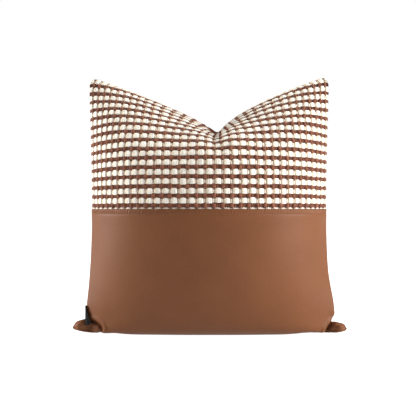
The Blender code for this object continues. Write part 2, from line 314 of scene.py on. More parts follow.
def surface_normals(grid):
    normals = np.cross(np.gradient(grid, axis=0), np.gradient(grid, axis=1))
    return normals / np.linalg.norm(normals, axis=-1, keepdims=True)


def quads(indices, closed=False):
    """Faces of a grid of vertex indices, wrapped along its second axis if closed."""
    if closed:
        indices = np.concatenate([indices, indices[:, :1]], axis=1)
    corners = (indices[:-1, :-1], indices[1:, :-1], indices[1:, 1:], indices[:-1, 1:])
    return np.stack(corners, axis=-1).reshape(-1, 4)


def closed_pair(count):
    """Vertex indices of a front and a back grid with common edges, and their faces."""
    front = np.arange(count ** 2).reshape(count, count)
    back = front.copy()
    back[INNER] = count ** 2 + np.arange((count - 2) ** 2).reshape(count - 2, -1)
    return front, back, np.concatenate([quads(front), quads(back)[:, ::-1]])


def new_mesh(name, points, faces):
    mesh = bpy.data.meshes.new(name)
    points = np.asarray(points, float).reshape(-1, 3)
    mesh.from_pydata(points.tolist(), [], [list(face) for face in faces])
    return mesh


def new_object(name, data):
    obj = bpy.data.objects.new(name, data)
    bpy.context.scene.collection.objects.link(obj)
    return obj


# ---- The case before it is filled ----

def side_x(z):
    """Half width of the body at height z."""
    above = np.clip(z / MIDDLE_Z - 1, 0, None)
    below = np.clip(1 - z / MIDDLE_Z, 0, None)
    return WAIST_HALF_WIDTH + SHOULDER_FLARE * above ** 2 + HIP_FLARE * below ** 1.7


def top_seam_z(x):
    """Two horns with the chopped valley between them."""
    side = "left" if x < NOTCH_X else "right"
    reach = CORNER_REACH + (NOTCH_X if side == "left" else -NOTCH_X)
    share = min(1.0, abs(x - NOTCH_X) / reach)
    rounded = math.sqrt(share ** 2 + NOTCH_ROUNDING ** 2) - NOTCH_ROUNDING * (1 - share)
    return NOTCH_Z + (CORNER_Z[side] - NOTCH_Z) * rounded ** RISE_POWER[side]


def column(across):
    """Front polylines of one column: the lower one up to the panel seam, and the upper one."""
    fullness = 1 - abs(across) ** 2.3
    depth = HALF_DEPTH * fullness
    share = np.linspace(0, 1, COLUMN_POINTS)

    top_x = CORNER_REACH * across * (1.12 - 0.12 * across ** 2)
    top_z = top_seam_z(top_x)
    squareness = SQUARENESS[0] + SQUARENESS[1] * math.exp(-((top_x - NOTCH_X) / SQUARE_REACH) ** 2)
    z = PANEL_SEAM_Z + (top_z - PANEL_SEAM_Z) * share
    spread = BULGE - 0.15 * share ** 3
    x = side_x(z) * across * (1 + spread * (1 - across ** 2))
    upper = np.stack([x, -depth * (1 - share ** squareness), z], axis=1)

    end_z = BOTTOM_SEAM_Z * smooth_step(0.88, 1.0, abs(across))
    base = 0.0005 + BASE_HALF_DEPTH * fullness ** 0.7
    turn = np.linspace(0, math.pi / 2, COLUMN_POINTS)
    z = end_z + (PANEL_SEAM_Z - end_z) * (1 - np.sin(turn))
    spread = BULGE - 0.17 * np.sin(turn)
    x = side_x(z) * across * (1 + spread * (1 - across ** 2))
    wall = np.stack([x, -(base + (depth - base) * np.cos(turn)), z], axis=1)
    under = np.linspace(0, 1, COLUMN_POINTS // 5)[1:]
    floor = np.stack([np.full_like(under, x[-1]), -base * (1 - under),
                      end_z + (BOTTOM_SEAM_Z - end_z) * smooth_step(0.5, 1.0, under)], axis=1)
    lower = np.vstack([wall, floor])[::-1]
    return lower, upper


def starting_panel():
    """The front panel as a grid of points, across first, with evenly spaced seams on y = 0."""
    half = np.linspace(0, 1, CELLS // 2 + 1)
    grid = []
    for across in np.linspace(-1, 1, CELLS + 1):
        lower, upper = column(across)
        grid.append(np.vstack([along(lower, half), along(upper, half[1:])]))
    grid = np.array(grid)
    even = np.linspace(0, 1, CELLS + 1)
    left, right, bottom = outer_seams()
    grid[0], grid[-1], grid[:, 0] = along(left, even), along(right, even), along(bottom, even)
    grid[:, -1] = along(grid[:, -1] * (1, 0, 1), even)
    for end, sign in ((0, 1), (-1, -1)):
        corner = grid[end, -1].copy()
        inward = Vector((sign * 0.8, 0, -1)).normalized()
        for seam in (grid[end], grid[:, -1]):
            near = np.linalg.norm(seam - corner, axis=1) / (4 * CORNER_PULL)
            seam += np.outer(np.clip(1 - near, 0, 1) ** 2 * CORNER_PULL, inward)
    return grid


def outer_seams():
    """The left and the right side seam, each from its ear upwards, and the bottom seam."""
    sides, halves = [], []
    for side, sign in (("left", -1), ("right", 1)):
        tip, corner = EAR_TIP[side], (CORNER_REACH, CORNER_Z[side])
        sides.append(seam_points([tip, *EAR_TOP[side], *SIDE_SEAM, corner], sign))
        halves.append(seam_points([tip, *BOTTOM_SEAM[side], (0, BOTTOM_SEAM_Z)], sign))
    return *sides, np.vstack([halves[0], halves[1][-2::-1]])


def seam_points(outline, sign):
    """A smooth seam on y = 0 through the (x, z) outline, mirrored for the left side."""
    x, z = smooth_curve(outline, 12).T
    hip = RIGHT_HIP * (1 - smooth_step(0.03, 0.10, z)) * smooth_step(0.016, 0.024, z) * (sign > 0)
    return np.stack([sign * (x + hip), np.zeros_like(x), z], axis=1)


def flat_panel():
    """The unfilled panel, with the seams a little shorter than the middle."""
    across, up = np.meshgrid(*[np.linspace(-1, 1, CELLS + 1)] * 2, indexing="ij")
    return np.stack([FLAT_HALF * across * (1 - TAKE_UP * up ** 2), np.zeros_like(across),
                     FLAT_HALF * up * (1 - TAKE_UP * across ** 2)], axis=-1)


# ---- Filling it ----

def collider(name, points, faces):
    mesh = new_mesh(name, points, faces)
    shell = bmesh.new()
    shell.from_mesh(mesh)
    bmesh.ops.recalc_face_normals(shell, faces=shell.faces)
    shell.to_mesh(mesh)
    shell.free()
    obj = new_object(name, mesh)
    obj.modifiers.new("Collision", "COLLISION")
    obj.collision.thickness_outer = 0.001
    obj.collision.thickness_inner = 0.05
    obj.collision.cloth_friction = 2
    return obj


def prism(name, outline, depths):
    """A collider with this (x, z) outline at each (y, drop) of depths."""
    points = []
    for y, drop in depths:
        points += [(x, y, z - drop) for x, z in outline]
    size = len(outline)
    faces = [tuple(range(size)), tuple(range(len(points) - size, len(points)))]
    for ring in range(len(depths) - 1):
        for at in range(size):
            a, b = ring * size + at, ring * size + (at + 1) % size
            faces.append((a, b, b + size, a + size))
    return collider(name, points, faces)


def make_colliders():
    floor = prism("floor_collider", [(-0.5, 0), (0.5, 0), (0.5, -0.1), (-0.5, -0.1)],
                  [(-0.4, 0), (0.4, 0)])
    xs = NOTCH_X + np.linspace(*WEDGE_REACH, 25)
    outline = [(x, top_seam_z(x) + WEDGE_LIFT) for x in xs] + [(xs[-1], 0.5), (xs[0], 0.5)]
    depths = []
    for y in np.linspace(-WEDGE_HALF_DEPTH, WEDGE_HALF_DEPTH, 5):
        depths.append((y, WEDGE_DROP * min(1, abs(y) * 2 / WEDGE_HALF_DEPTH) ** 2))
    return [floor, prism("wedge_collider", outline, depths)]


def filled_case():
    """(front, back) grids of the filled case."""
    front = starting_panel()
    back = front * (1, -1, 1)

    front_at, back_at, faces = closed_pair(CELLS + 1)
    total = back_at.max() + 1
    points, rest = np.zeros((2, total, 3))
    points[front_at] = front
    points[back_at[INNER]] = back[INNER]
    flat = flat_panel()
    rest[front_at] = flat
    rest[front_at[INNER]] = flat[INNER] - (0, 0.001, 0)
    rest[back_at[INNER]] = flat[INNER] + (0, 0.001, 0)

    case = new_object("case", new_mesh("case", points, faces))
    case.shape_key_add(name="Basis")
    unfilled = case.shape_key_add(name="Flat")
    unfilled.data.foreach_set("co", rest.astype(np.float32).ravel())
    unfilled.value = 0
    seam = case.vertex_groups.new(name="seam")
    held = np.unique(np.concatenate([front_at[edge] for edge in EDGES]))
    seam.add(held.tolist(), 1.0, "REPLACE")

    cloth = case.modifiers.new("Cloth", "CLOTH")
    settings = cloth.settings
    settings.quality = 8
    settings.mass = 0.3
    settings.tension_stiffness = settings.compression_stiffness = 40
    settings.shear_stiffness = 20
    settings.bending_stiffness = 1
    settings.tension_damping = settings.compression_damping = settings.shear_damping = 10
    settings.bending_damping = 1
    settings.air_damping = 3
    settings.use_pressure = True
    settings.uniform_pressure_force = PRESSURE
    settings.effector_weights.gravity = 0
    settings.vertex_group_mass = "seam"
    settings.pin_stiffness = 1
    settings.rest_shape_key = unfilled
    cloth.collision_settings.distance_min = 0.0015
    cloth.collision_settings.collision_quality = 4
    cloth.point_cache.frame_start = 1
    cloth.point_cache.frame_end = FRAMES
    helpers = make_colliders() + [case]
    scene = bpy.context.scene
    scene.frame_start, scene.frame_end = 1, FRAMES
    for frame in range(1, FRAMES + 1):
        scene.frame_set(frame)
    result = case.evaluated_get(bpy.context.evaluated_depsgraph_get()).data
    places = np.empty(total * 3, np.float32)
    result.vertices.foreach_get("co", places)
    places = places.reshape(-1, 3).astype(float)
    scene.frame_set(1)
    for helper in helpers:
        bpy.data.objects.remove(helper)
    return places[front_at], places[back_at]


def distance_to(line, x, z):
    """Distance of each (x, z) from the polyline."""
    nearest = np.full(x.shape, np.inf)
    for start, end in zip(line, line[1:]):
        step = end - start
        share = np.clip(((x - start[0]) * step[0] + (z - start[1]) * step[1]) / (step @ step), 0, 1)
        gap = np.hypot(x - start[0] - share * step[0], z - start[1] - share * step[1])
        nearest = np.minimum(nearest, gap)
    return nearest


class Panel:
    """One side of the filled case: a place at any across, up and lift."""

    def __init__(self, grid, outward):
        lowest = grid[..., 2].min(axis=1)
        for _ in range(3):
            lowest[1:-1] = (lowest[:-2] + 2 * lowest[1:-1] + lowest[2:]) / 4
        pinched = smooth_step(*PINCH_X, abs(grid[:, 0, 0]))
        lowest += (FLOOR_CLEARANCE - lowest) * pinched
        reach = 1 - smooth_step(*SETTLE_Z, grid[..., 2])
        grid[..., 2] -= (lowest[:, None] - FLOOR_CLEARANCE) * reach
        grid[..., 2] = np.maximum(grid[..., 2], FLOOR_CLEARANCE)
        for _ in range(2):
            around = grid[:-2, 1:-1] + grid[2:, 1:-1] + grid[1:-1, :-2] + grid[1:-1, 2:]
            grid[INNER] = 0.6 * grid[INNER] + 0.1 * around
        grid = smooth_curve(grid, REFINE).swapaxes(0, 1)
        grid = smooth_curve(grid, REFINE).swapaxes(0, 1)
        grid = self.sharpen_notch(self.level_panel_seam(grid), outward)
        grid = self.trace_ears(grid)
        grid = self.open_lips(self.fold_ears(grid, outward), outward)
        self.places = self.tuck_seams(grid, outward)
        self.normals = -outward * surface_normals(self.places)
        self.rows = self.measure_rows()

    def measure_rows(self):
        """up of each woven row height, column by column. Rows keep their pitch on the open
        face, and close up only towards the top seam, where the case is slack."""
        steps = np.linalg.norm(np.diff(self.places, axis=1), axis=2)
        length = np.pad(np.cumsum(steps, axis=1), ((0, 0), (1, 0)))
        shares = np.linspace(0, 2, length.shape[1])
        height = np.linspace(0, FLAT_HALF, 200)
        rows = []
        for across, column_length in zip(np.linspace(-1, 1, len(length)), length):
            seam = np.interp(1, shares, column_length)
            whole = column_length[-1] - seam
            pitch = FACE_PITCH + (whole / FLAT_HALF - FACE_PITCH) * abs(across) ** 3
            slack = pitch * FLAT_HALF - whole
            late = np.clip((height - SLACK_START) / (FLAT_HALF - SLACK_START), 0, None)
            rows.append(np.interp(seam + pitch * height - slack * late ** 2, column_length, shares))
        return np.array(rows)

    def up_at(self, across, height):
        """up for a height in flat metres above the folded leather edge."""
        across, height = np.broadcast_arrays(across, height)
        i = (np.clip(across, -1, 1) + 1) / 2 * (self.rows.shape[0] - 1)
        j = np.clip(height / FLAT_HALF, 0, 1) * (self.rows.shape[1] - 1)
        return np.where(height < 0, 1 + height / FLAT_HALF, bilinear(self.rows, i, j))

    @staticmethod
    def sharpen_notch(grid, outward):
        """Draws the top edge down to a sharp V, and at its left rolls the seam to the front, so
        that the back panel shows over it."""
        x = grid[:, -1, 0]
        near = np.exp(-((x - NOTCH_X) / NOTCH_REACH) ** 2)
        drop = near * (np.array([top_seam_z(place) for place in x]) - grid[:, -1, 2])
        roll = np.exp(-((x - ROLL_X) / ROLL_HALF_WIDTH) ** 2)
        for distance in range(ROLL_ROWS):
            fade = max(0.0, 1 - distance / NOTCH_ROWS)
            rolled = roll * (fade ** 4 if outward > 0 else 1 - distance / ROLL_ROWS)
            grid[:, -1 - distance, 2] += fade ** 2 * drop - ROLL_DROP * rolled
            if outward > 0:
                ridge = math.sin(math.pi * min(1.0, distance / NOTCH_ROWS)) ** 2
                grid[:, -1 - distance, 2] += RIDGE_RISE * roll * ridge
            grid[:, -1 - distance, 1] -= ROLL_FORWARD * rolled
        return grid

    @staticmethod
    def level_panel_seam(grid):
        """Slides each column along itself until up = 1 lies in the seam's plane."""
        shares = np.linspace(0, 2, grid.shape[1])
        middle = slice(len(shares) // 4, 3 * len(shares) // 4)
        for points in grid:
            height = points[middle, 2] - FRONT_SEAM_RISE * abs(points[middle, 1])
            seam = np.interp(FRONT_SEAM_Z, height, shares[middle])
            at = shares + (seam - 1) * np.sin(shares * math.pi / 2) ** 2
            points[:] = np.stack([np.interp(at, shares, axis) for axis in points.T], axis=1)
        return grid

    @staticmethod
    def trace_ears(grid):
        """The coarse seams cut the flaps' corners short, so they follow the outline again."""
        even = np.linspace(0, 1, len(grid))
        left, right, bottom = (along(seam, even) for seam in outer_seams())
        reach = EAR_CELLS * REFINE
        grid[0, :reach], grid[-1, :reach] = left[:reach], right[:reach]
        grid[:reach, 0], grid[-reach:, 0] = bottom[:reach], bottom[-reach:]
        return grid

    @staticmethod
    def fold_ears(grid, outward):
        """The bottom corners become full flaps that lean forward, with folds where they leave
        the body."""
        for side, sign in (("left", -1), ("right", 1)):
            x, z = grid[..., 0] * sign, grid[..., 2]
            away = np.hypot((x - EAR_CENTRE[0]) / EAR_RADII[0], (z - EAR_CENTRE[1]) / EAR_RADII[1])
            full = EAR_HALF_DEPTH * np.sqrt(np.clip(1 - away ** 2, 0, None))
            depth = abs(grid[..., 1])
            held = smooth_step(0, 0.0015, depth)
            depth = depth + np.clip(full - depth, 0, None) * held
            for line, fold, half in EAR_CREASES[side]:
                near = distance_to(smooth_curve(line, 8), x, z)
                crease = np.exp(-(near / half) ** 2) - EAR_RIM * np.exp(-(near / half - EAR_RIM_AT) ** 2)
                depth = depth - fold * crease * smooth_step(0, 0.004, depth)
            grid[..., 1] = outward * np.clip(depth, 0, None)
        flap = smooth_step(*EAR_LEAN_FROM, abs(grid[..., 0]))
        grid[..., 1] -= EAR_FORWARD * flap * (1 - smooth_step(*EAR_LEAN_Z, grid[..., 2]))
        return grid

    @staticmethod
    def tuck_seams(grid, outward):
        """The side and top edges turn into the case, which leaves a narrow valley at the seam."""
        for edge, near, inside in ((np.s_[0], np.s_[1], np.s_[6]), (np.s_[-1], np.s_[-2], np.s_[-7]),
                                   (np.s_[:, -1], np.s_[:, -2], np.s_[:, -7])):
            inward = (grid[inside] - grid[edge]) * (1, 0, 1)
            inward = inward + SEAM_TO_MIDDLE * (np.array([0, 0, PANEL_SEAM_Z]) - grid[edge]) * (1, 0, 1)
            inward /= np.linalg.norm(inward, axis=1, keepdims=True)
            grid[near] += inward * SEAM_DEPTH * SEAM_SHOULDER
            grid[edge] = grid[edge] + inward * SEAM_DEPTH
            grid[edge][..., 1] += outward * SEAM_HALF_GAP
        return grid

    @staticmethod
    def open_lips(grid, outward):
        """The bottom edges stand apart, so that the zipper shows between them."""
        across = np.linspace(-1, 1, grid.shape[0])[:, None]
        up = np.linspace(0, 2, grid.shape[1])[None, :]
        open_here = 1 - smooth_step(*ZIP_END, abs(across))
        near = 1 - smooth_step(0, LIP_REACH, up)
        grid[..., 1] += outward * LIP * open_here * near
        return grid

    def woven(self, across, height, lift):
        """A place of the weave. Its columns lean into the notch from both sides."""
        x = across * CORNER_REACH - NOTCH_X
        side = np.where(x < 0, LEAN["left"], -LEAN["right"])
        flank = np.minimum(1, abs(x) / LEAN_FROM) * (1 - smooth_step(LEAN_FROM, LEAN_TO, abs(x)))
        lean = side * flank * smooth_step(FLAT_HALF - LEAN_DEPTH, FLAT_HALF - LEAN_END, height)
        across = across + lean / CORNER_REACH
        return self.at(across, self.up_at(across, height), lift)

    def at(self, across, up, lift):
        """The place at this across and up, raised by lift."""
        across, up, lift = np.broadcast_arrays(across, up, lift)
        columns, rows = self.places.shape[:2]
        i = (np.clip(across, -1, 1) + 1) / 2 * (columns - 1)
        j = np.clip(up, 0, 2) / 2 * (rows - 1)
        normal = bilinear(self.normals, i, j)
        normal /= np.linalg.norm(normal, axis=-1, keepdims=True)
        return bilinear(self.places, i, j) + normal * lift[..., None]


# ---- Meshes on the surface ----

def add_piece(name, points, faces, material, uvs=None):
    """A smooth mesh that rides on the pillow. uvs has one pair for each face corner."""
    mesh = new_mesh(name, points, faces)
    mesh.polygons.foreach_set("use_smooth", [True] * len(mesh.polygons))
    if uvs is not None:
        layer = mesh.uv_layers.new(name="surface")
        layer.data.foreach_set("uv", np.asarray(uvs, np.float32).ravel())
    mesh.materials.append(material)
    obj = new_object(name, mesh)
    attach(obj, "pillow")
    return obj


def shell(name, outer, inner, material, outward=-1):
    """A closed sheet between two grids of points."""
    rows, columns = outer.shape[:2]
    outer_at = np.arange(rows * columns).reshape(rows, columns)
    inner_at = outer_at + rows * columns
    faces = [quads(outer_at), quads(inner_at)[:, ::-1]]
    for edge, flip in zip(EDGES, (True, False, False, True)):
        rim = quads(np.stack([outer_at[edge], inner_at[edge]], axis=1))
        faces.append(rim[:, ::-1] if flip else rim)
    faces = np.concatenate(faces)
    faces = faces if outward < 0 else faces[:, ::-1]
    points = np.concatenate([outer.reshape(-1, 3), inner.reshape(-1, 3)])
    return add_piece(name, points, faces, material)


class Yarns:
    """Many yarns collected into one mesh, with texture coordinates along and around each."""

    def __init__(self):
        self.points, self.faces, self.uvs = [], [], []
        self.count = 0

    def add(self, rings, distance):
        """rings is (section, point on ring, xyz), and distance the length along the yarn."""
        sections, around = rings.shape[:2]
        at = self.count + np.arange(sections * around).reshape(sections, around)
        sides = quads(at, closed=True)
        turn = np.linspace(0, YARN_GIRTH, around + 1)
        grid = np.stack(np.meshgrid(distance, turn, indexing="ij"), axis=-1)
        corners = (grid[:-1, :-1], grid[1:, :-1], grid[1:, 1:], grid[:-1, 1:])
        uv = np.stack(corners, axis=2).reshape(-1, 4, 2)
        self.points.append(rings.reshape(-1, 3))
        self.faces += sides.tolist() + [at[0].tolist(), at[-1, ::-1].tolist()]
        ends = [np.tile(grid[end, 0], (around, 1)) for end in (0, -1)]
        self.uvs += [uv.reshape(-1, 2), *ends]
        self.count += sections * around

    def build(self, name, material):
        points, uvs = np.concatenate(self.points), np.concatenate(self.uvs)
        obj = add_piece(name, points, self.faces, material, uvs)
        volume = bmesh.new()
        volume.from_mesh(obj.data)
        if volume.calc_volume(signed=True) < 0:
            bmesh.ops.reverse_faces(volume, faces=volume.faces)
            volume.to_mesh(obj.data)
        volume.free()
        return obj


def ring_shape(count, power):
    """Unit superellipse: how far to the side, and how high from 0 to 1."""
    angle = np.linspace(0, 2 * math.pi, count, endpoint=False) + math.pi / count
    side, height = np.cos(angle), np.sin(angle)
    side = np.sign(side) * abs(side) ** power
    height = 0.5 + 0.5 * np.sign(height) * abs(height) ** power
    return side, height


def weft_rings(panel, across, height, half_width, bottom, top, power):
    """Rings of a yarn that runs across the panel at this height above the leather edge."""
    side, rise = ring_shape(RING, power)
    height = np.broadcast_to(height, across.shape)[:, None] + half_width[:, None] * side
    lift = bottom[:, None] + (top - bottom)[:, None] * rise
    return panel.woven(across[:, None], height, lift)


def warp_rings(panel, across, height, half_width, bottom, top):
    """Rings of a yarn that runs up the panel through these heights."""
    side, rise = ring_shape(RING, WARP_POWER)
    across = np.broadcast_to(across, height.shape)[:, None] + half_width[:, None] * side / FLAT_HALF
    lift = bottom[:, None] + (top - bottom)[:, None] * rise
    return panel.woven(across, height[:, None], lift)


# ---- Weave ----

def edge_taper(across, height):
    """1 on the open face, falling to 0 at the side and top seams."""
    from_side = (1 - abs(across)) * FLAT_HALF
    from_top = FLAT_HALF - height
    return smooth_step(-0.0005, 0.0060, from_side) * smooth_step(-0.0015, 0.0035, from_top)


def bulge(phase, half, power):
    """1 at the middle of a crossing and 0 beyond half a width from it."""
    return np.sqrt(np.clip(1 - (abs(phase) / half) ** power, 0, None))


def column_sections(steps):
    """Places along a whole row, the phase of each from its nearest bead's centre, and the
    index of that bead."""
    steps = [-0.5, *[-step for step in steps[::-1]], *steps]
    phases = np.tile(steps, COLUMNS)
    index = np.repeat(np.arange(COLUMNS), len(steps))
    places = (index + 0.5 + phases) / COLUMNS * 2 - 1
    return np.append(places, 1.0), np.append(phases, 0.5), np.append(index, COLUMNS - 1)


def weft_rows(panel, name, material, rows, start, steps, power, shape):
    """Every row of one weft. shape gives a row's shift, half width and top at its sections."""
    across, phases, index = column_sections(steps)
    yarns = Yarns()
    for row in range(rows):
        height = start + row * ROW_PITCH
        shift, half, top = shape(row, phases, index)
        taper = edge_taper(across, height)
        top = top * (0.3 + 0.7 * taper) - SEAM_SINK * (1 - taper)
        bottom = np.full_like(top, BACKING_LIFT - YARN_SINK)
        rings = weft_rings(panel, across, height + shift, half, bottom, top, power)
        yarns.add(rings, (across + 1 + 2 * ROW_SHIFT * row / COLUMNS) * FLAT_HALF)
    return yarns.build(name, material)


def cream_rows(panel, material, rng):
    """Thick flat weft: wide beads, and low narrow stretches where the dark warp crosses."""
    def shape(row, phases, index):
        size = np.clip(1 + 0.05 * rng.standard_normal(COLUMNS), 0.9, 1.1)[index]
        sway = SWAY * rng.standard_normal(COLUMNS)[index]
        swell = bulge(phases + 0.012 * rng.standard_normal(COLUMNS)[index], *BEAD_SHAPE)
        half = (CREAM_GAP_HALF + (BEAD_HALF - CREAM_GAP_HALF) * swell) * size
        top = CREAM_GAP_TOP + (BEAD_TOP - CREAM_GAP_TOP) * swell * size
        if row == 0:
            top = np.minimum(top, TUCKED_TOP) - TUCKED_TOP
        return sway - CREAM_GAP_SAG * (1 - swell), half, top

    return weft_rows(panel, "woven_cream_weft", material, ROWS + 1, CREAM_START, CREAM_STEPS,
                     CREAM_POWER, shape)


def brown_rows(panel, material, rng):
    """Thinner cord: a round knot at each gap between beads, and a flat link under each bead."""
    def shape(_, phases, index):
        size = np.clip(1 + 0.06 * rng.standard_normal(COLUMNS), 0.85, 1.15)[index]
        sway = SWAY * rng.standard_normal(COLUMNS)[index]
        swell = bulge(0.5 - abs(phases), *KNOT_SHAPE)
        link = bulge(phases, *LINK_SHAPE)
        half = DIP_HALF + ((KNOT_HALF - DIP_HALF) * swell + (CORD_HALF - DIP_HALF) * link) * size
        top = DIP_TOP + ((KNOT_TOP - DIP_TOP) * swell + (CORD_TOP - DIP_TOP) * link) * size
        return sway - KNOT_SAG * swell, half, top

    return weft_rows(panel, "woven_brown_weft", material, ROWS, BROWN_START, BROWN_STEPS,
                     BROWN_POWER, shape)


def warps(panel, name, material, offsets, half_width, over_cream, over_brown, rng):
    """Warp threads at these offsets, in pitches from each bead's centre. They rise to the given
    lifts where they cross each kind of weft."""
    heights, lifts = [WARP_START], [over_cream]
    for row in range(ROWS):
        brown = BROWN_START + row * ROW_PITCH
        cream = brown + ROW_PITCH / 2
        for centre, half, lift in ((brown, WARP_OVER["brown"], over_brown),
                                   (cream, WARP_OVER["cream"], over_cream)):
            heights += [centre - half, centre - half * 0.5, centre + half * 0.5, centre + half]
            side = lift if lift < BACKING_LIFT / 2 else lift - WARP_SHOULDER
            lifts += [side, lift, lift, side]
    heights, lifts = np.array(heights), np.array(lifts)
    keep = heights < FLAT_HALF - 0.001
    heights, lifts = np.append(heights[keep], FLAT_HALF), np.append(lifts[keep], -0.0012)
    yarns = Yarns()
    for offset in offsets:
        for index in range(COLUMNS):
            across = (index + 0.5 + offset) / COLUMNS * 2 - 1
            if abs(across) > WARP_REACH:
                continue
            sway = WARP_SWAY / COLUMNS * rng.standard_normal(len(heights))
            taper = edge_taper(across, heights)
            top = lifts * taper + (taper - 1) * 0.001
            half = np.full_like(top, half_width)
            bottom = np.minimum(top - WARP_THICKNESS, BACKING_LIFT)
            rings = warp_rings(panel, across + sway, heights, half, bottom, top)
            yarns.add(rings, heights + WARP_SHIFT * index)
    return yarns.build(name, material)


# ---- Materials ----

class Finish:
    """A Principled material and the nodes that vary it."""

    def __init__(self, name, colour, roughness, **inputs):
        self.material = bpy.data.materials.new(name)
        self.material.use_nodes = True
        self.nodes = self.material.node_tree.nodes
        self.links = self.material.node_tree.links
        self.shader = self.nodes["Principled BSDF"]
        self.shader.inputs["Base Color"].default_value = (*colour, 1)
        self.shader.inputs["Roughness"].default_value = roughness
        for key, value in inputs.items():
            self.shader.inputs[key.replace("_", " ")].default_value = value
        self.material.diffuse_color = (*colour, 1)

    def link(self, source, target):
        self.links.new(source, target)

    def node(self, kind, vector=None, **inputs):
        """A new node with its vector linked and these inputs set."""
        node = self.nodes.new("ShaderNode" + kind)
        for key, value in inputs.items():
            node.inputs[key.replace("_", " ")].default_value = value
        if vector is not None:
            self.link(vector, node.inputs["Vector"])
        return node

    def place(self, scale=(1, 1, 1), yarn=False):
        """Position on the object, or along and around a yarn, stretched by scale."""
        source = self.node("UVMap" if yarn else "TexCoord")
        if yarn:
            source.uv_map = "surface"
        place = source.outputs["UV" if yarn else "Object"]
        return self.node("Mapping", place, Scale=scale).outputs["Vector"]

    def noise(self, place, scale, detail, roughness=0.55):
        node = self.node("TexNoise", place, Scale=scale, Detail=detail, Roughness=roughness)
        return node.outputs["Fac"]

    def wave(self, place, per_metre):
        """0 at x = 0 and at every whole turn, and 1 halfway between them."""
        scale = per_metre * 2 * math.pi / 20
        return self.node("TexWave", place, Scale=scale, Phase_Offset=-math.pi / 2).outputs["Fac"]

    def cells(self, place, scale):
        """Distance from the edges of small irregular cells."""
        node = self.node("TexVoronoi", place, Scale=scale)
        node.feature = "DISTANCE_TO_EDGE"
        return node.outputs["Distance"]

    def ramp(self, factor, stops):
        """A colour or grey for each position of factor."""
        node = self.node("ValToRGB")
        elements = node.color_ramp.elements
        while len(elements) < len(stops):
            elements.new(0.5)
        for element, (position, colour) in zip(elements, stops):
            element.position = position
            element.color = (*colour, 1) if isinstance(colour, tuple) else (colour,) * 3 + (1,)
        self.link(factor, node.inputs["Fac"])
        return node.outputs["Color"]

    def mottled(self, factor, colour, dark, light):
        """The colour, made darker where factor is low and lighter where it is high."""
        return self.ramp(factor, [(0.3, shade(colour, dark)), (0.7, shade(colour, light))])

    def product(self, first, second):
        """One colour multiplied by another."""
        node = self.node("Mix")
        node.data_type = "RGBA"
        node.blend_type = "MULTIPLY"
        node.inputs["Factor"].default_value = 1.0
        self.link(first, node.inputs["A"])
        self.link(second, node.inputs["B"])
        return node.outputs["Result"]

    def colour(self, source):
        self.link(source, self.shader.inputs["Base Color"])

    def roughness(self, source):
        self.link(source, self.shader.inputs["Roughness"])

    def bumps(self, *layers):
        """layers are (height, strength, distance)."""
        normal = None
        for height, strength, distance in layers:
            node = self.node("Bump", Strength=strength, Distance=distance)
            self.link(height, node.inputs["Height"])
            if normal is not None:
                self.link(normal, node.inputs["Normal"])
            normal = node.outputs["Normal"]
        self.link(normal, self.shader.inputs["Normal"])


def srgb(red, green, blue):
    """Linear colour from 8-bit sRGB."""
    return tuple(((value / 255 + 0.055) / 1.055) ** 2.4 if value > 10 else value / 3295
                 for value in (red, green, blue))


def shade(colour, factor):
    return tuple(min(1.0, value * factor) for value in colour)


def yarn_finish(name, colour, dark, light, fibre=0.5, roughness=0.9, painted_shade_bands=None):
    """Spun yarn: mottled along its length, with plies that lie across it and fine fibres. The optional
    tint goes from 0 at the gaps between beads to 1 at the beads' centres; it is painted shade where the
    weft lies low."""
    finish = Finish(name, colour, roughness, Sheen_Weight=0.1, Sheen_Roughness=0.5,
                    Specular_IOR_Level=0.12)
    plies = finish.noise(finish.place((640, 150, 1), yarn=True), 1.0, 2, 0.5)
    fibres = finish.noise(finish.place((900, 2200, 1), yarn=True), 1.0, 3, 0.6)
    clumps = finish.noise(finish.place((110, 240, 1), yarn=True), 1.0, 2)
    tone = finish.ramp(clumps, [(0.30, shade(colour, dark)), (0.5, colour), (0.70, shade(colour, light))])
    streak = finish.ramp(plies, [(0.36, 1 - 0.45 * fibre), (0.52, 1.0)])
    speck = finish.ramp(fibres, [(0.32, 1 - 0.3 * fibre), (0.6, 1.0)])
    tone = finish.product(finish.product(tone, streak), speck)
    # painted shade: the tint by bead position darkens the low stretches of a weft
    if painted_shade_bands:
        wave = finish.wave(finish.place(yarn=True), COLUMNS / 2 / FLAT_HALF)
        tone = finish.product(tone, finish.ramp(wave, painted_shade_bands))
    finish.colour(tone)
    finish.bumps((plies, 0.45, 0.0006), (fibres, 0.5, 0.0003))
    return finish.material


def leather_finish(name, colour, grain=0.2, roughness=0.42):
    finish = Finish(name, colour, roughness, Specular_IOR_Level=0.10)
    place = finish.place()
    specks = finish.noise(place, 420, 2)
    speckle = finish.ramp(specks, [(0.3, 0.90), (0.7, 1.0)])
    tone = finish.mottled(finish.noise(place, 22, 4), colour, 0.95, 1.05)
    finish.colour(finish.product(tone, speckle))
    finish.roughness(finish.ramp(specks, [(0.2, roughness - 0.05), (0.8, roughness + 0.07)]))
    finish.bumps((finish.cells(place, 900), grain, 0.0004), (specks, grain * 0.6, 0.0003))
    return finish.material


def cloth_finish(name, colour, pitch=0.0009, roughness=0.85):
    """Plain tightly woven tape or lining."""
    finish = Finish(name, colour, roughness, Sheen_Weight=0.2, Specular_IOR_Level=0.3)
    place = finish.place()
    finish.colour(finish.mottled(finish.noise(place, 60, 3), colour, 0.88, 1.1))
    finish.bumps((finish.cells(place, 1 / pitch), 0.4, 0.0004))
    return finish.material


def satin_finish(name, colour):
    """Black satin ribbon: a fine cross rib with a soft gloss."""
    finish = Finish(name, colour, 0.5, Specular_IOR_Level=0.03)
    rib = finish.noise(finish.place((150, 150, 2600)), 1.0, 2)
    finish.colour(finish.mottled(rib, colour, 0.7, 1.3))
    finish.bumps((rib, 0.4, 0.0002))
    return finish.material


